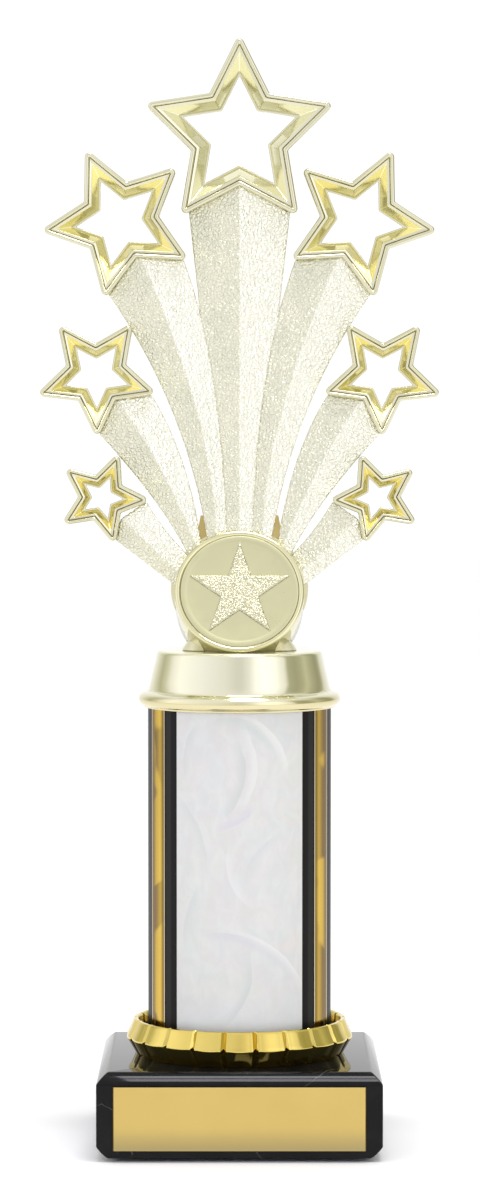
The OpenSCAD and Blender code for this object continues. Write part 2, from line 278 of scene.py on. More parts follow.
def metallised(name, color, deep, roughness=(0.06, 0.12), ripple=0.004, yellow_below=None, matt_above=None):
    """Vacuum-metallised plastic: a mirror with a slight moulded ripple and an uneven lacquer.

    The colour may turn yellower below one height, and the lacquer may hide the mirror above another.
    """
    material, n, shader = new_material(name, color, 1.0, roughness[0])
    where = n.object_coords()
    tint = n.noise(where, 60, 3)
    tone = n.mix_color(n.range(tint, 0.3, 0.75), color, deep)
    up = n.split(where)[2]
    if yellow_below is not None:
        low = n.range(up, yellow_below, yellow_below - 1.2 * MM, smooth=True)
        tone = n.mix_color(low, tone, (0.72, 0.65, 0.39))
    n.link(tone, shader.inputs["Base Color"])
    if matt_above is not None:
        n.link(n.range(up, matt_above - 0.5 * MM, matt_above, 1.0, 0.25), shader.inputs["Metallic"])
    haze = n.noise(where, 220, 4, 0.6)
    n.link(n.range(haze, 0.3, 0.7, *roughness), shader.inputs["Roughness"])
    waves = n.noise(where, 170, 2, 0.4)
    n.link(n.bump(waves, ripple * MM), shader.inputs["Normal"])
    return material


def hammered_gold():
    """Metallised wrinkles, with painted light and shade: facets that lean to the right are brighter than the
    others, the side walls carry a painted highlight, and pits and creases a painted shade.
    """
    bright, shaded_facet, deep = (0.93, 0.92, 0.80), (0.80, 0.785, 0.625), (0.46, 0.44, 0.32)
    material, n, shader = new_material("hammered_gold", bright, 1.0, 0.3)
    where = n.object_coords()
    bent = n.warped(where, n.noise(where, 900, 2), (1.0 * MM, 1.0 * MM, 1.0 * MM))
    to_edge = n.cells(bent, 1250, "DISTANCE_TO_EDGE")
    wrinkle = n.range(to_edge, 0.0, 0.30, smooth=True)
    grain = n.noise(where, 2300, 3, 0.65)
    height = n.math("ADD", wrinkle, n.math("MULTIPLY", grain, 0.8))
    n.link(n.bump(height, 0.11 * MM, 1.0), shader.inputs["Normal"])
    to_right, to_back, _ = n.split(n.add("ShaderNodeNewGeometry").outputs["Normal"])
    shaded_facet = n.mix_color(n.range(n.noise(where, 130, 3), 0.35, 0.7), shaded_facet, (0.72, 0.715, 0.575))
    # Painted light and shade: facets leaning to the right take the bright colour, the others the shaded one.
    tone = n.mix_color(n.range(to_right, -0.11, 0.13, smooth=True), shaded_facet, bright)
    # Painted highlight on the side walls.
    tone = n.mix_color(n.range(to_back, -0.80, -0.45), tone, (0.97, 0.95, 0.82))
    # Painted shade in pit spots and in the creases between the wrinkles.
    pit_shade = n.range(n.noise(where, 1500, 3, 0.7), 0.62, 0.74, 0.0, 0.65, smooth=True)
    crease_shade = n.range(to_edge, 0.12, 0.0, 0.0, 0.45, smooth=True)
    n.link(n.mix_color(n.math("MAXIMUM", pit_shade, crease_shade), tone, deep), shader.inputs["Base Color"])
    n.link(n.range(grain, 0.3, 0.7, 0.22, 0.36), shader.inputs["Roughness"])
    return material


def polished_marble():
    """Near-black polished stone with faint grey clouds and a few broken white hairlines."""
    black, cloud, vein = (0.004, 0.004, 0.0045), (0.009, 0.009, 0.010), (0.22, 0.22, 0.22)
    material, n, shader = new_material("polished_marble", black, 0.0, 0.05)
    shader.inputs["Specular IOR Level"].default_value = 0.15
    where = n.object_coords()
    clouds = n.noise(where, 90, 5, 0.65, 0.6)
    ground = n.mix_color(n.range(clouds, 0.4, 0.72), black, cloud)
    shifted = n.warped(where, n.noise(where, 45, 4, 0.6), (30 * MM, 34 * MM, 26 * MM))
    line = n.range(n.cells(shifted, 26, "DISTANCE_TO_EDGE"), 0.004, 0.0, smooth=True)
    patchy = n.range(n.noise(where, 120, 3), 0.52, 0.68)
    mask = n.math("MULTIPLY", line, patchy, clamp=True)
    n.link(n.mix_color(mask, ground, vein), shader.inputs["Base Color"])
    smudge = n.noise(where, 75, 4, 0.6)
    n.link(n.range(smudge, 0.35, 0.75, 0.02, 0.05), shader.inputs["Roughness"])
    polish = n.noise(where, 40, 1)
    n.link(n.bump(polish, 0.008 * MM), shader.inputs["Normal"])
    return material


def satin_plate(foot, top):
    """Gold-anodised plate, brushed along its length, with painted shade darkening it towards its lower edge.
    """
    gold, deep = (0.62, 0.455, 0.147), (0.58, 0.42, 0.135)
    material, n, shader = new_material("satin_plate", gold, 1.0, 0.2)
    where = n.object_coords()
    streaks = n.noise(n.mapped(where, (40, 40, 5200)), 1.0, 4, 0.65)
    blotch = n.noise(where, 70, 3)
    # Painted shade: darker towards the lower edge, where the plate mirrors the shaded floor beside the
    # block.
    dull_stain_and_shade = n.range(n.split(where)[2], foot + 0.42 * (top - foot), foot, smooth=True)
    tone = n.mix_color(n.range(blotch, 0.3, 0.75), gold, deep)
    n.link(n.mix_color(dull_stain_and_shade, tone, (0.40, 0.315, 0.135)), shader.inputs["Base Color"])
    n.link(n.range(streaks, 0.25, 0.75, 0.18, 0.24), shader.inputs["Roughness"])
    n.link(n.bump(streaks, 0.0015 * MM), shader.inputs["Normal"])
    return material


COLUMN_RADIUS_MM = 20.0
# The foil's soft tints, by the level of a slow noise
PEARL_TINTS = [
    (0.30, (0.580, 0.615, 0.590)), (0.42, (0.610, 0.610, 0.575)), (0.50, (0.620, 0.600, 0.590)),
    (0.58, (0.595, 0.610, 0.595)), (0.66, (0.630, 0.605, 0.580)), (0.76, (0.585, 0.615, 0.575))
]
# Crescents of the pearl foil: centre across the panel, its height and the radius in mm, the direction of
# the middle of the crescent and how far it reaches either way in degrees, its strength and its colour
CRESCENTS = [
    (-2.5, 82, 11, 60, 60, 0.55, (0.66, 0.72, 0.70)), (-2, 80.5, 13, 40, 45, 0.7, (0.88, 0.88, 0.87)),
    (-14, 82, 15.2, -10, 42, 0.6, (0.66, 0.69, 0.69)), (-13, 82.5, 16.6, 0, 40, 0.6, (0.86, 0.87, 0.86)),
    (-9, 84.5, 16.6, -58, 20, 0.6, (0.74, 0.70, 0.80)), (2, 47, 14.8, 165, 30, 0.5, (0.68, 0.70, 0.71)),
    (-4.5, 26.5, 20.7, 62, 42, 0.6, (0.68, 0.68, 0.75)), (-5.5, 26, 22.3, 48, 36, 0.6, (0.88, 0.87, 0.88)),
    (-14, 40, 16.8, -22, 38, 0.6, (0.67, 0.70, 0.71)), (0, 83, 12.7, 165, 34, 0.5, (0.69, 0.71, 0.71)),
    (-24, 62, 17, 25, 34, 0.55, (0.70, 0.73, 0.72)), (8, 62, 11, 200, 50, 0.5, (0.86, 0.86, 0.87)),
    (13, 57, 12, 140, 40, 0.45, (0.70, 0.71, 0.74)), (2, 30, 12, 235, 40, 0.5, (0.66, 0.73, 0.79)),
]


def pearl_foil(name, middle):
    """White pearl foil: faint overlapping crescents and soft tints of pink, lilac and aqua under a gloss."""
    material, n, shader = new_material(name, (0.62, 0.62, 0.62), 0.0, 0.35, coat=0.2, coat_roughness=0.2)
    where = n.object_coords()
    turned = n.mapped(where, rotation=(0, 0, -math.radians(middle)))
    x, y, z = n.split(turned)
    across = n.math("MULTIPLY", n.math("ARCTAN2", y, x), COLUMN_RADIUS_MM)
    height = n.math("MULTIPLY", z, 1 / MM)
    sway = n.math("SUBTRACT", n.noise(where, 120, 2), 0.5)
    fine = n.noise(n.mapped(where, (300, 300, 200)), 1.0, 4, 0.6, 0.8)
    color = n.ramp(n.noise(where, 75, 2), PEARL_TINTS)
    color = n.mix_color(n.range(fine, 0.40, 0.70, 0.0, 0.45), color, (0.70, 0.70, 0.67))
    # Painted shade: darker and bluer towards the foot of the panel, just above the ring.
    color = n.mix_color(n.range(height, 36.0, 21.0, 0.0, 0.5, smooth=True), color, (0.52, 0.59, 0.64))
    relief = 0.0
    for cu, cv, radius, direction, reach, strength, light in CRESCENTS:
        tint = (0.80 * light[0], 0.80 * light[1], 0.77 * light[2])
        du = n.math("SUBTRACT", across, cu)
        dv = n.math("SUBTRACT", height, cv)
        distance = n.math("SQRT", n.math("ADD", n.math("MULTIPLY", du, du), n.math("MULTIPLY", dv, dv)))
        inward = n.math("SUBTRACT", n.math("ADD", n.math("MULTIPLY", sway, 1.6), radius), distance)
        fade = n.range(inward, 2.4, 0.1, smooth=True)
        brim = n.range(inward, -0.06, 0.06, smooth=True)
        a = math.radians(direction)
        ahead = n.math("ADD", n.math("MULTIPLY", du, math.cos(a)), n.math("MULTIPLY", dv, math.sin(a)))
        cosine = n.math("DIVIDE", ahead, distance)
        window = n.range(cosine, math.cos(math.radians(reach)), 1.0, smooth=True)
        shape = n.math("MULTIPLY", n.math("MULTIPLY", fade, brim), window)
        weight = n.math("MULTIPLY", shape, min(1.0, 1.3 * strength))
        color = n.mix_color(weight, color, tint)
        relief = n.math("ADD", relief, weight)
    n.link(color, shader.inputs["Base Color"])
    n.link(n.bump(relief, 0.01 * MM, 0.4), shader.inputs["Normal"])
    n.link(n.range(fine, 0.3, 0.7, 0.30, 0.42), shader.inputs["Roughness"])
    return material


def gold_foil(name, middle, span, shift, shaded_side):
    """Mirror foil with painted brown reflections in patches down its length, painted shade towards its long
    edges, and a pale line along each edge.

    It lies round the column about the angle middle; the half on shaded_side is deeper in colour, painted
    shade.
    """
    material, n, shader = new_material(name, (0.58, 0.41, 0.11), 1.0, 0.14)
    where = n.object_coords()
    x, y, _ = n.split(where)
    angle = n.math("ARCTAN2", y, x)
    across = n.math("DIVIDE", n.math("SUBTRACT", angle, middle), span)
    # Painted shade: the half on shaded_side is deeper in colour.
    deep = n.range(n.math("MULTIPLY", across, shaded_side), -0.3, 0.25, smooth=True)
    patches = n.noise(n.mapped(where, (40, 40, 62), location=(0, 0, shift)), 1.0, 2, 0.5)
    # Painted reflection: brown patches down the strip's length, stronger on the shaded half.
    brown_reflection = n.range(patches, 0.53, 0.48, smooth=True)
    fine = n.noise(n.mapped(where, (500, 500, 40), location=(shift, 0, 0)), 1.0, 3, 0.55)
    bright = n.mix_color(deep, (0.76, 0.52, 0.085), (0.54, 0.34, 0.035))
    bright = n.mix_color(n.range(fine, 0.3, 0.75, 0.0, 0.35), bright, (0.52, 0.34, 0.05))
    dark = n.mix_color(n.range(fine, 0.35, 0.65), (0.14, 0.085, 0.020), (0.21, 0.13, 0.032))
    tone = n.mix_color(n.math("MULTIPLY", brown_reflection, n.range(deep, 0.0, 1.0, 0.35, 1.0)), bright, dark)
    # Painted shade: darker away from the middle of the strip, towards its long edges.
    core = n.math("ABSOLUTE", n.math("SUBTRACT", across, -0.05 * shaded_side))
    tone = n.mix_color(n.range(core, 0.12, 0.38, 0.0, 0.88, smooth=True), tone, (0.17, 0.095, 0.015))
    edge = n.range(n.math("ABSOLUTE", across), 0.5 - 0.060, 0.5 - 0.035, smooth=True)
    n.link(n.mix_color(edge, tone, (0.62, 0.56, 0.40)), shader.inputs["Base Color"])
    n.link(n.range(fine, 0.3, 0.7, 0.12, 0.2), shader.inputs["Roughness"])
    n.link(n.bump(patches, 0.05 * MM), shader.inputs["Normal"])
    return material


def column_black(strip_edges):
    """Black moulded tube with faint draw lines, and a painted reflection that makes it a little lighter
    beside the gold strips.
    """
    material, n, shader = new_material("column_black", (0.016, 0.014, 0.014), 0.0, 0.4)
    shader.inputs["Specular IOR Level"].default_value = 0.12
    where = n.object_coords()
    x, y, _ = n.split(where)
    angle = n.math("ARCTAN2", y, x)
    # Painted reflection: a lighter band beside the edge of each gold strip.
    light = 0.0
    for edge in strip_edges:
        off = n.math("ABSOLUTE", n.math("SUBTRACT", angle, edge))
        light = n.math("MAXIMUM", light, n.range(off, 0.105, 0.085, smooth=True))
    draw = n.noise(n.mapped(where, (900, 900, 14)), 1.0, 3)
    tone = n.mix_color(draw, (0.005, 0.004, 0.004), (0.009, 0.007, 0.007))
    n.link(n.mix_color(light, tone, (0.018, 0.018, 0.016)), shader.inputs["Base Color"])
    n.link(n.range(draw, 0.3, 0.7, 0.36, 0.45), shader.inputs["Roughness"])
    n.link(n.bump(draw, 0.003 * MM), shader.inputs["Normal"])
    return material


def satin_disc():
    """Spun satin face of the centre disc."""
    gold = (0.62, 0.60, 0.375)
    material, n, shader = new_material("satin_disc", gold, 1.0, 0.3)
    where = n.object_coords()
    mottled = n.noise(where, 350, 4, 0.6)
    n.link(n.mix_color(mottled, gold, (0.57, 0.55, 0.33)), shader.inputs["Base Color"])
    n.link(n.range(mottled, 0.3, 0.7, 0.26, 0.36), shader.inputs["Roughness"])
    n.link(n.bump(n.noise(where, 1500, 2), 0.004 * MM), shader.inputs["Normal"])
    return material


def glitter_star():
    """Bright stipple of the raised star: small facets that each catch the light their own way."""
    material, n, shader = new_material("glitter_star", (0.64, 0.62, 0.48), 1.0, 0.25)
    where = n.object_coords()
    grains = n.cells(where, 3200)
    tone = n.mix_color(n.range(grains, 0.1, 0.6), (0.71, 0.695, 0.50), (0.52, 0.495, 0.33))
    n.link(tone, shader.inputs["Base Color"])
    n.link(n.bump(grains, 0.12 * MM, 0.8), shader.inputs["Normal"])
    return material


def soft_pad(name, color, scale):
    """Foam or felt."""
    material, n, shader = new_material(name, color, 0.0, 0.85)
    where = n.object_coords()
    fibre = n.noise(where, scale, 5, 0.7)
    dark = tuple(0.6 * c for c in color)
    n.link(n.mix_color(fibre, dark, color), shader.inputs["Base Color"])
    n.link(n.bump(fibre, 0.12 * MM, 0.8), shader.inputs["Normal"])
    return material


def plated_metal(name, color, dull_stain_and_shade):
    """Bright metal with dull stains."""
    material, n, shader = new_material(name, color, 1.0, 0.3)
    where = n.object_coords()
    stain = n.noise(where, 240, 4, 0.6)
    n.link(n.mix_color(n.range(stain, 0.4, 0.75), color, dull_stain_and_shade), shader.inputs["Base Color"])
    n.link(n.range(stain, 0.3, 0.7, 0.22, 0.42), shader.inputs["Roughness"])
    n.link(n.bump(n.noise(where, 1800, 3), 0.01 * MM), shader.inputs["Normal"])
    return material


# ---------- Mesh helpers ----------

def give(obj, material):
    obj.data.materials.clear()
    obj.data.materials.append(material)


def new_piece(name, verts, faces, material, replaced, sharp):
    """A piece on the root body, in place of the CAD node that it replaces, if any."""
    mesh = bpy.data.meshes.new(name)
    mesh.from_pydata([tuple(v) for v in verts], [], faces)
    mesh.validate()
    bm = bmesh.new()
    bm.from_mesh(mesh)
    bmesh.ops.recalc_face_normals(bm, faces=bm.faces)
    bm.to_mesh(mesh)
    bm.free()
    mesh.polygons.foreach_set("use_smooth", [True] * len(mesh.polygons))
    mesh.set_sharp_from_angle(angle=math.radians(sharp))
    obj = bpy.data.objects.new(name, mesh)
    bpy.context.scene.collection.objects.link(obj)
    obj.data.materials.append(material)
    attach(obj, "root")
    if replaced:
        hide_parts(replaced)
    return obj


def weld(obj):
    obj.modifiers.new("weld", "WELD").merge_threshold = 0.001 * MM


def soften(node, width, segments=2, angle=30):
    """Rounds a CAD node's sharp edges, with modifiers only."""
    obj = NODES[node]
    weld(obj)
    bevel = obj.modifiers.new("edges", "BEVEL")
    bevel.width = width
    bevel.segments = segments
    bevel.limit_method = "ANGLE"
    bevel.angle_limit = math.radians(angle)
    bevel.harden_normals = True
    bevel.use_clamp_overlap = True
    return bevel


def unique_points(node):
    """A CAD node's vertices, each once."""
    co = np.array([v.co for v in NODES[node].data.vertices])
    return np.unique(np.round(co, 6), axis=0)


def loop_faces(rings, count, closed_rings=False):
    """Quads between rings of count points each; the last ring joins the first when closed_rings."""
    faces = []
    last = rings if closed_rings else rings - 1
    for i in range(last):
        a, b = i * count, ((i + 1) % rings) * count
        for j in range(count):
            k = (j + 1) % count
            faces.append((a + j, a + k, b + k, b + j))
    return faces


# ---------- Stars ----------

CORNER_RATIO = 0.535
TIP_ROUND = 1.0 * MM
TIP_LOSS = 1.26 * MM
TIP_STEPS = 8
CORNER_FILLET = 0.28 * MM
BEAD_STEPS = 12
FUNNEL_STEPS = 5
LIP_STEPS = 7
LIP_R = 0.23 * MM
FUNNEL_FOOT = -1.25 * MM


def star_apothem(radius):
    """Distance from the centre of a star to its straight edges."""
    tip, corner = radius + TIP_LOSS, CORNER_RATIO * radius
    c, s = math.cos(math.radians(36)), math.sin(math.radians(36))
    return tip * corner * s / math.hypot(tip - corner * c, corner * s)


def star_outline(radius, inset):
    """The outline of a star moved inward, anticlockwise from the upright tip, tips and corners rounded."""
    apothem = star_apothem(radius)
    shrink = 1 - inset / apothem
    tip = (radius + TIP_LOSS) * shrink
    corner = CORNER_RATIO * radius * shrink
    half = math.asin(apothem / (radius + TIP_LOSS))
    rounding = max(0.14 * MM, TIP_ROUND - inset)
    centre = tip - rounding / math.sin(half)
    points = []
    for k in range(5):
        up = math.radians(90 + 72 * k)
        for i in range(TIP_STEPS + 1):
            a = (2 * i / TIP_STEPS - 1) * (math.pi / 2 - half)
            x, y = centre + rounding * math.cos(a), rounding * math.sin(a)
            points.append((x * math.cos(up) - y * math.sin(up), x * math.sin(up) + y * math.cos(up)))
        mid = up + math.radians(36)
        vertex = np.array((corner * math.cos(mid), corner * math.sin(mid)))
        before = np.array((tip * math.cos(up), tip * math.sin(up))) - vertex
        next_up = up + math.radians(72)
        after = np.array((tip * math.cos(next_up), tip * math.sin(next_up))) - vertex
        p = vertex + CORNER_FILLET * before / np.linalg.norm(before)
        q = vertex + CORNER_FILLET * after / np.linalg.norm(after)
        points += [tuple(p), tuple(0.25 * p + 0.5 * vertex + 0.25 * q), tuple(q)]
    return points


def star_profile(width, front, back):
    """Points (distance inward, y) from the back round to the back, and the funnel's first and last rows.

    They go over the rolled bead at the outer edge, a gentle band, the funnel and the lip of the hole.
    """
    bead = 0.25 * MM + 0.075 * width
    bead_height = 0.72 * MM
    profile = [(0.40 * MM, back), (0.12 * MM, back - 0.10 * MM), (0, back - 0.35 * MM)]
    for i in range(BEAD_STEPS):
        a = math.radians(i * 14)
        profile.append((bead - bead * math.cos(a), front + bead_height - bead_height * math.sin(a)))
    profile.append((bead * 2 + 0.03 * MM, front + 0.74 * MM))
    band = (bead * 2 + 0.10 * MM, front + 0.50 * MM)
    brink = (band[0] + 0.14 * width, band[1] + 0.04 * width)
    profile += [band, brink]
    first = len(profile)
    end = (width - 0.50 * MM, FUNNEL_FOOT)
    profile.append((brink[0] + 0.05 * MM, brink[1] + 0.05 * MM))
    for i in range(1, FUNNEL_STEPS):
        u = i / FUNNEL_STEPS
        profile.append((brink[0] + (end[0] - brink[0]) * u, brink[1] + (end[1] - brink[1]) * u))
    profile.append(end)
    last = len(profile)
    for i in range(LIP_STEPS):
        a = math.radians(i * 30)
        inward = width - LIP_R - LIP_R * math.cos(a)
        profile.append((inward, FUNNEL_FOOT + 0.05 * MM - 0.25 * MM * math.sin(a)))
    profile += [(width, back - 0.35 * MM), (width - 0.12 * MM, back - 0.10 * MM), (width - 0.40 * MM, back)]
    return profile, first, last


def make_star(node, material, slope):
    """A hollow star, at the place, turn, size and width of its CAD node."""
    points = unique_points(node)
    flat = points[:, (0, 2)]
    centre = flat.mean(axis=0)
    off = flat - centre
    far = np.hypot(off[:, 0], off[:, 1])
    tips = off[far > far.max() - 0.02 * MM]
    radius = far.max() - 0.03 * MM
    turns = (np.degrees(np.arctan2(tips[:, 1], tips[:, 0])) - 90 + 36) % 72 - 36
    turn = math.radians(turns[np.argmin(np.abs(turns))])
    apothem = star_apothem(radius)
    width = apothem * (1 - far.min() / (CORNER_RATIO * radius))
    low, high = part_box(node)
    verts = []
    profile, first, last = star_profile(width, low.y, high.y)
    for inset, y in profile:
        for x, z in star_outline(radius, inset):
            right = centre[0] + x * math.cos(turn) - z * math.sin(turn)
            up = centre[1] + x * math.sin(turn) + z * math.cos(turn)
            verts.append((right, y, up))
    count = len(verts) // len(profile)
    faces = loop_faces(len(profile), count, True)
    star = new_piece(f"{node}_moulding", verts, faces, material, node, 50)
    # The funnel faces take the slope material, whose brighter, yellower gold is painted light from
    # reflections in the funnel.
    star.data.materials.append(slope)
    for i, face in enumerate(star.data.polygons):
        face.material_index = int(first <= i // count < last)


# ---------- Trails ----------

VOXEL = 0.26 * MM
SIDE_GROWTH = 0.13 * MM
BORDER = (0.4 * MM, 0.85 * MM)
PEBBLE = 0.8 * MM
PEBBLE_DEPTH = 0.10 * MM
PEBBLE_WARP = 0.22 * MM
HASH_SALTS = (12.9898, 78.233)
HASH_SCALE = 43758.5453


def cell_edges(points, size, seed):
    """Distance between the nearest and the second nearest of jittered cell centres, over the cell size."""
    grid = np.floor(points / size).astype(int)
    nearest = np.full(len(points), 9.0)
    second = np.full(len(points), 9.0)
    for dx in (-1, 0, 1):
        for dz in (-1, 0, 1):
            cell = grid + (dx, dz)
            jitter = []
            for salt in HASH_SALTS:
                s = np.sin(cell[:, 0] * salt + cell[:, 1] * (salt * 0.37 + 4.1) + seed) * HASH_SCALE
                jitter.append(s - np.floor(s))
            centre = (cell + np.stack(jitter, axis=1)) * size
            d = np.hypot(*(centre - points).T) / size
            second = np.minimum(second, np.maximum(d, nearest))
            nearest = np.minimum(nearest, d)
    return second - nearest


def smoothstep(x, low, high):
    t = np.clip((x - low) / (high - low), 0, 1)
    return t * t * (3 - 2 * t)


def close_mesh(node, name):
    """A new object with the CAD node's shape in small even faces."""
    piece = bpy.data.objects.new(name, NODES[node].data.copy())
    bpy.context.scene.collection.objects.link(piece)
    weld(piece)
    remesh = piece.modifiers.new("close", "REMESH")
    remesh.mode = "VOXEL"
    remesh.voxel_size = VOXEL
    remesh.use_smooth_shade = True
    graph = bpy.context.evaluated_depsgraph_get()
    mesh = bpy.data.meshes.new_from_object(piece.evaluated_get(graph))
    piece.modifiers.clear()
    piece.data = mesh
    return piece


def make_trail(node, material, seed):
    """A close mesh of the CAD trail, a little wider, with a hammered face inside a smooth border."""
    piece = close_mesh(node, f"{node}_moulding")
    mesh = piece.data
    co = np.zeros(len(mesh.vertices) * 3)
    mesh.vertices.foreach_get("co", co)
    co = co.reshape(-1, 3)
    normals = np.zeros(len(mesh.vertices) * 3)
    mesh.vertex_normals.foreach_get("vector", normals)
    normals = normals.reshape(-1, 3)
    side = np.nonzero(np.abs(normals[:, 1]) < 0.6)[0]
    co[side] += normals[side] * (SIDE_GROWTH, 0, SIDE_GROWTH)
    tree = kdtree.KDTree(len(side))
    for i in side:
        tree.insert((co[i, 0], 0, co[i, 2]), int(i))
    tree.balance()
    front = np.nonzero(normals[:, 1] < -0.6)[0]
    border = np.array([tree.find((co[i, 0], 0, co[i, 2]))[2] for i in front])
    inside = smoothstep(border, *BORDER)
    flat = co[front][:, (0, 2)]
    sway = np.stack([np.sin(flat[:, 1] * 5200 + seed), np.sin(flat[:, 0] * 4700 - seed)], axis=1)
    pebbles = smoothstep(cell_edges(flat + PEBBLE_WARP * sway, PEBBLE, seed), 0.02, 0.40)
    depth = (pebbles - 1) * PEBBLE_DEPTH * inside
    co[front] += normals[front] * depth[:, None]
    mesh.vertices.foreach_set("co", co.ravel())
    mesh.update()
    give(piece, material)
    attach(piece, "root")
    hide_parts(node)


# ---------- Fluted ring ----------

PLEATS = 22
PLEAT_STEPS = 24
GROOVE = 0.95 * MM
SKIN_OFFSET = 0.04 * MM
RING_EDGE = 3.4 * MM
RING_FLOOR = 2.0 * MM


def pleat(a, depth):
    """How far the ring's skin lies inside its full radius at angle a: leaning facets between grooves."""
    step = 2 * math.pi / PLEATS
    off = (a / step + 0.5) % 1.0 - 0.5
    lean = 0.36 * math.sin(5.1 * math.floor(a / step + 0.5))
    bow = 0.75 * (2 * off) ** 2 + lean * off
    groove = math.exp(-((abs(off) - 0.5) / 0.045) ** 2)
    lip = 0.18 * math.exp(-((abs(off) - 0.40) / 0.035) ** 2)
    return depth * (0.42 * bow + 0.62 * groove - 0.5 * lip) + SKIN_OFFSET


def make_ring(material):
    """The pleated ring: undercut below its edge, then a rolled top and a dish round the column's foot."""
    low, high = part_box("fluted_ring")
    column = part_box("column_tube")[1].x
    radius = -low.y
    height = high.z - low.z
    edge = RING_EDGE
    # Height, radius and how deep the pleats are there
    profile = [
        (0, radius - 2.15 * MM, 0.5), (0.15 * MM, radius - 2.0 * MM, 0.55),
        (edge - 0.3 * MM, radius - 0.32 * MM, 0.9), (edge - 0.08 * MM, radius - 0.14 * MM, 1),
        (edge + 0.12 * MM, radius - 0.03 * MM, 1), (edge + 0.35 * MM, radius, 1),
        (edge + 0.6 * MM, radius - 0.06 * MM, 1), (edge + 1.1 * MM, radius - 0.26 * MM, 1),
        (edge + 2.3 * MM, radius - 0.86 * MM, 0.95), (height - 0.55 * MM, radius - 1.38 * MM, 0.9),
        (height - 0.3 * MM, radius - 1.52 * MM, 0.85), (height - 0.1 * MM, radius - 1.66 * MM, 0.75),
        (height, radius - 1.9 * MM, 0.6), (height, radius - 2.25 * MM, 0.4),
        (height - 0.1 * MM, radius - 2.5 * MM, 0.3), (height - 0.5 * MM, radius - 2.75 * MM, 0.15),
        (4.5 * MM, radius - 2.95 * MM, 0), (2.2 * MM, radius - 3.05 * MM, 0),
        (RING_FLOOR, column - 0.1 * MM, 0),
    ]
    count = PLEATS * PLEAT_STEPS
    verts = []
    for z, r, share in profile:
        for j in range(count):
            a = 2 * math.pi * j / count
            q = r - pleat(a, GROOVE * share)
            near_edge = max(0.0, 1 - abs(z - edge) / (2.2 * MM))
            rise = 0.75 * (pleat(a, GROOVE) - SKIN_OFFSET) * near_edge
            verts.append((q * math.sin(a), -q * math.cos(a), low.z + z + rise))
    faces = loop_faces(len(profile), count)
    top = len(verts)
    verts += [(0, 0, low.z + RING_FLOOR), (0, 0, low.z)]
    last = (len(profile) - 1) * count
    faces += [(last + j, last + (j + 1) % count, top) for j in range(count)]
    faces += [((j + 1) % count, j, top + 1) for j in range(count)]
    new_piece("fluted_ring_pleats", verts, faces, material, "fluted_ring", 32)


# ---------- Centre disc ----------

DISC_STEPS = 160
STIPPLE_STEP = 0.145 * MM
STIPPLE_SEED = 7
STAR_CORNER_RATIO = 0.382


def face_frame(node):
    """Normal of a node's largest flat face towards the front, and the way up on it."""
    sums = {}
    for p in NODES[node].data.polygons:
        if p.normal.y < -0.85:
            key = tuple(round(c, 2) for c in p.normal)
            sums[key] = sums.get(key, Vector()) + p.normal * p.area
    normal = max(sums.values(), key=lambda total: total.length).normalized()
    normal.x = 0
    normal.normalize()
    up = normal.cross(Vector((1, 0, 0)))
    return normal, up if up.z > 0 else -up


def make_disc(satin, glitter):
    """The centre disc with a rounded edge, and its raised star."""
    points = unique_points("medal_disc")
    normal, up = face_frame("medal_disc")
    along = points @ np.array(normal)
    base, star_face = along.min(), along.max()
    plate = base + 0.7 * MM
    height = points @ np.array(up)
    centre = (height.max() + height.min()) / 2
    rim = (height.max() - height.min()) / 2
    star = points[along > star_face - 0.05 * MM]
    radius = (star[:, 0].max() - star[:, 0].min()) / 2 / math.cos(math.radians(18))
    middle = up * centre
    count = DISC_STEPS
    profile = [
        (rim, base), (rim + 0.19 * MM, base + 0.1 * MM), (rim + 0.19 * MM, plate - 0.12 * MM),
        (rim + 0.16 * MM, plate - 0.04 * MM), (rim + 0.02 * MM, plate - 0.01 * MM),
        (rim - 0.3 * MM, plate), (rim - 0.9 * MM, plate - 0.02 * MM), (rim - 1.1 * MM, plate - 0.06 * MM),
        (rim - 1.3 * MM, plate - 0.08 * MM), (rim * 0.6, plate - 0.08 * MM), (rim * 0.25, plate - 0.08 * MM),
    ]
    verts = []
    for r, level in profile:
        for j in range(count):
            a = 2 * math.pi * j / count
            verts.append(middle + Vector((r * math.cos(a), 0, 0)) + up * (r * math.sin(a)) + normal * level)
    faces = loop_faces(len(profile), count)
    faces.append(tuple((len(profile) - 1) * count + j for j in range(count)))
    faces.append(tuple(reversed(range(count))))
    new_piece("medal_disc_face", verts, faces, satin, "medal_disc", 40)
    make_stipple(glitter, radius, middle, up, normal, plate, star_face)


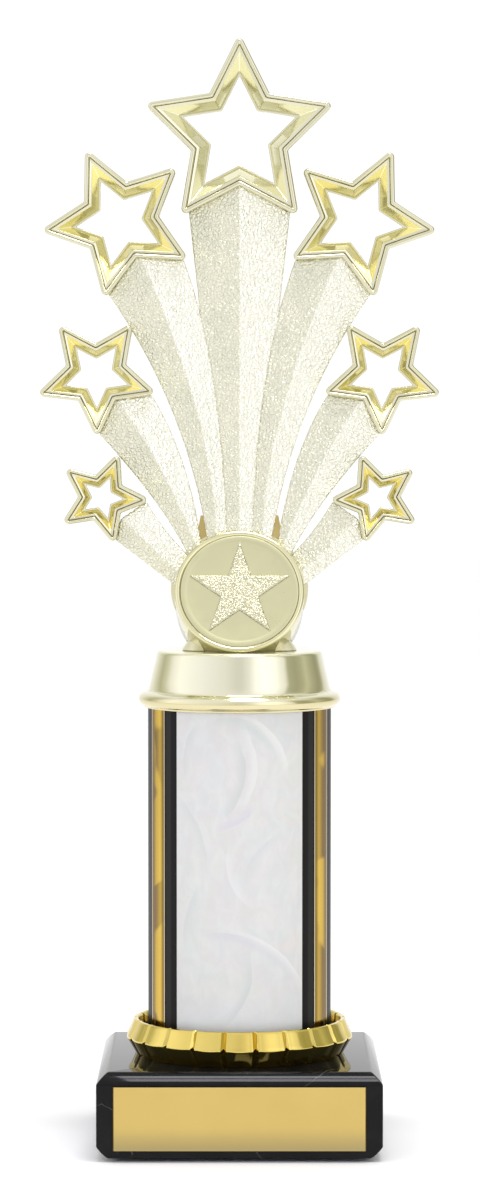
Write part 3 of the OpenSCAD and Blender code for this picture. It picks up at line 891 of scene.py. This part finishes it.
def make_stipple(material, radius, middle, up, normal, plate, star_face):
    """The disc's raised star, as a close grid of small random facets between plate and star_face."""
    step = STIPPLE_STEP
    rng = np.random.default_rng(STIPPLE_SEED)
    size = int(2 * radius / step) + 2
    index, verts, faces = {}, [], []
    fifth, half = math.radians(72), math.radians(36)
    corner = STAR_CORNER_RATIO * radius
    cx, cy = corner * math.sin(half), corner * math.cos(half)
    for i in range(size):
        for j in range(size):
            x, y = (i - size / 2) * step, (j - size / 2) * step
            r, a = math.hypot(x, y), math.atan2(x, y)
            a = abs((a + half) % fifth - half)
            px, py = r * math.sin(a), r * math.cos(a)
            depth = (px * (cy - radius) - (py - radius) * cx) / math.hypot(cx, cy - radius)
            if depth < 0:
                continue
            index[i, j] = len(verts)
            edge = min(1.0, depth / (0.35 * MM))
            lift = (star_face - plate) * (0.25 + 0.75 * edge) - 0.10 * MM * rng.random()
            jx, jy = (rng.random(2) - 0.5) * 0.6 * step
            level = plate + lift - 0.05 * MM
            verts.append(middle + Vector((x + jx, 0, 0)) + up * (y + jy) + normal * level)
    for (i, j), a in index.items():
        b, c, d = index.get((i + 1, j)), index.get((i + 1, j + 1)), index.get((i, j + 1))
        if None not in (b, c, d):
            faces.append((a, b, c, d))
    new_piece("medal_star_stipple", verts, faces, material, None, 180)


# ---------- Marble block ----------

CHAMFER = 2.4 * MM
BEVEL_STEPS = 10
BEVEL_BULGE = 0.13 * MM
BLOCK_CORNER_STEPS = 9
POCKET_R = 8.5 * MM


def rounded_rectangle(w, d, r, steps):
    """Corner arcs of a rectangle of half sizes w and d, anticlockwise."""
    points = []
    for sx, sy, start in ((1, -1, -90), (1, 1, 0), (-1, 1, 90), (-1, -1, 180)):
        for i in range(steps + 1):
            a = math.radians(start + 90 * i / steps)
            points.append((sx * (w - r) + r * math.cos(a), sy * (d - r) + r * math.sin(a)))
    return points


def make_block(material):
    """The marble block: hand-polished bevels that bulge a little, and the pocket for the nut below."""
    low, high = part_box("marble_base")
    half = high.x
    steps = BLOCK_CORNER_STEPS
    bevel = []
    for i in range(BEVEL_STEPS + 1):
        t = i / BEVEL_STEPS
        b = BEVEL_BULGE * 4 * t * (1 - t) / math.sqrt(2)
        bevel.append((CHAMFER * t - b, CHAMFER * t + b))
    bevel = [(0.0, -0.22 * MM), (0.015 * MM, -0.07 * MM)] + bevel[1:-1] + [
        (CHAMFER + 0.07 * MM, CHAMFER - 0.015 * MM), (CHAMFER + 0.22 * MM, CHAMFER)]
    levels = []
    for inset, rise in reversed(bevel):
        levels.append((low.z + CHAMFER - rise, half - inset, half - max(0, 0.25 * MM - (CHAMFER - rise))))
    for inset, rise in bevel:
        levels.append((high.z - CHAMFER + rise, half - inset, half - inset))
    verts = [(x, y, z) for z, w, d in levels for x, y in rounded_rectangle(w, d, 0.3 * MM, steps)]
    count = 4 * (steps + 1)
    faces = loop_faces(len(levels), count)
    faces.append(tuple((len(levels) - 1) * count + j for j in range(count)))
    pocket_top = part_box("base_washer")[1].z
    start = len(verts)
    for r, z in ((POCKET_R + 0.2 * MM, low.z), (POCKET_R, low.z + 0.2 * MM), (POCKET_R, pocket_top)):
        for j in range(count):
            a = math.radians(-85.5 + 360 * j / count)
            verts.append((r * math.cos(a), r * math.sin(a), z))
    for i in range(3):
        inner = start + i * count
        outer = start + (i - 1) * count if i else 0
        for j in range(count):
            k = (j + 1) % count
            faces.append((inner + j, inner + k, outer + k, outer + j))
    faces.append(tuple(start + 2 * count + j for j in range(count)))
    new_piece("marble_block", verts, faces, material, "marble_base", 28)


# ---------- Foot ----------

FOOT_NECK = (17.2 * MM, 5.6 * MM)
FOOT_LEVELS = [0, 0.02, 0.06, 0.12, 0.2, 0.3, 0.42, 0.56, 0.7, 0.85, 1.0]
FOOT_FLARE = 1.4
FOOT_CORNER_STEPS = 8


def make_foot(material):
    """The flared foot: rings of a rounded rectangle that narrow upward, deep enough to hide the nut."""
    low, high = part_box("topper_foot")
    half_w, half_d = high.x, high.y
    neck_w, neck_d = 0.5 * FOOT_NECK[0], 0.5 * FOOT_NECK[1]
    height = high.z - low.z
    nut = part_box("topper_nut")[1]
    verts = []
    for level in FOOT_LEVELS:
        share = (1 - level) ** FOOT_FLARE
        w = neck_w + (half_w - neck_w) * share
        d = neck_d + (half_d - neck_d) * share
        if low.z + height * level < nut.z + 1.2 * MM:
            d = min(max(d, nut.y + 0.3 * MM), half_d)
        if level == 0:
            w, d = w - 0.25 * MM, d - 0.25 * MM
        ring = rounded_rectangle(w, d, 0.5 * min(w, d), FOOT_CORNER_STEPS)
        verts += [(x, y, low.z + height * level) for x, y in ring]
    count = 4 * (FOOT_CORNER_STEPS + 1)
    faces = loop_faces(len(FOOT_LEVELS), count)
    faces.append(tuple(reversed(range(count))))
    faces.append(tuple((len(FOOT_LEVELS) - 1) * count + j for j in range(count)))
    new_piece("topper_foot_flare", verts, faces, material, "topper_foot", 50)


# ---------- Assembly ----------

FLANGE_HEIGHT = 3.0 * MM


def finish_base():
    """The block, its pads, the rod with its nuts and washer, and the name plate."""
    make_block(polished_marble())
    give(NODES["base_pads"], soft_pad("black_felt", (0.03, 0.03, 0.03), 2200))
    zinc = plated_metal("zinc_steel", (0.62, 0.62, 0.60), (0.45, 0.44, 0.42))
    for node in ("tie_rod", "base_washer", "base_nut"):
        give(NODES[node], zinc)
    soften("base_nut", 0.2 * MM)
    tape = soft_pad("foam_tape", (0.75, 0.72, 0.65), 1500)
    for node in ("plate_tape", "disc_pad"):
        give(NODES[node], tape)
    low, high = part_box("name_plate")
    give(NODES["name_plate"], satin_plate(low.z, high.z))
    # Painted shade: the plate's edge and bevel take a dark brown metal, for the shade along the plate's
    # edge.
    plate_edge_shade = plated_metal("plate_edge_shade", (0.09, 0.06, 0.02), (0.05, 0.035, 0.012))
    NODES["name_plate"].data.materials.append(plate_edge_shade)
    soften("name_plate", 0.2 * MM, 3).material = 1


def finish_column():
    """The tube with its foils, and the cap."""
    give(NODES["panel_front"], pearl_foil("pearl_front", -90))
    give(NODES["panel_back"], pearl_foil("pearl_back", 90))
    edges = []
    for i, node in enumerate(n for n in sorted(NODES) if n.startswith("strip_")):
        points = unique_points(node)
        angles = np.arctan2(points[:, 1], points[:, 0])
        first, last = angles.min(), angles.max()
        near_panel = first if abs(math.sin(first)) > abs(math.sin(last)) else last
        edges.append(near_panel)
        outward = -1 if near_panel == last else 1
        foil = gold_foil(f"gold_{node}", (first + last) / 2, last - first, 1.7 * i + 0.4, outward)
        give(NODES[node], foil)
    give(NODES["column_tube"], column_black(edges))
    low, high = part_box("column_cap")
    cap = metallised("cap_gold", (0.745, 0.725, 0.545), (0.74, 0.71, 0.51),
                     yellow_below=low.z + FLANGE_HEIGHT, matt_above=high.z)
    give(NODES["column_cap"], cap)
    soften("column_cap", 0.15 * MM, 2, 35)


def finish_topper():
    """The foot, the cup with its disc, the webs, the stars and the trails."""
    give(NODES["medal_cup"], metallised("cup_gold", (0.73, 0.695, 0.45), (0.70, 0.66, 0.40)))
    web_gold = metallised("web_gold", (0.60, 0.48, 0.20), (0.42, 0.32, 0.11), (0.2, 0.3))
    for node in ("web_left", "web_right"):
        give(NODES[node], web_gold)
    soften("medal_cup", 0.3 * MM, 3, 40)
    give(NODES["topper_nut"], plated_metal("brass", (0.78, 0.60, 0.28), (0.6, 0.44, 0.2)))
    make_disc(satin_disc(), glitter_star())
    # Painted light: the foot's gold is paler and brighter than the cup's.
    make_foot(metallised("foot_gold", (0.80, 0.78, 0.60), (0.78, 0.75, 0.55), (0.30, 0.40)))
    # Painted light: the stars' funnel slopes are a brighter, yellower gold than their beads, yellower on the
    # lower stars, for the reflections inside the funnels.
    painted_light_slopes = {
        "star_top": metallised("top_star_slope", (0.88, 0.86, 0.66), (0.82, 0.79, 0.54), (0.08, 0.16)),
        "star_upper": metallised("upper_star_slope", (0.91, 0.86, 0.52), (0.84, 0.77, 0.40), (0.10, 0.2)),
        "star_middle": metallised("middle_star_slope", (0.90, 0.84, 0.48), (0.83, 0.75, 0.36), (0.10, 0.2)),
        "star_lower": metallised("lower_star_slope", (0.88, 0.80, 0.40), (0.80, 0.70, 0.29), (0.10, 0.2)),
    }
    rolled = metallised("star_bead", (0.69, 0.67, 0.50), (0.66, 0.63, 0.43))
    for node in STARS:
        make_star(node, rolled, next(m for key, m in painted_light_slopes.items() if node.startswith(key)))
    hammered = hammered_gold()
    for i, node in enumerate(sorted(TRAILS)):
        make_trail(node, hammered, 3.0 + 11.0 * i)


bpy.context.scene.view_settings.view_transform = "Standard"
make_camera()
make_world()
make_stage()
finish_base()
finish_column()
finish_topper()
make_ring(metallised("ring_gold", (0.72, 0.58, 0.165), (0.66, 0.49, 0.115), (0.06, 0.13)))
make_lamps()
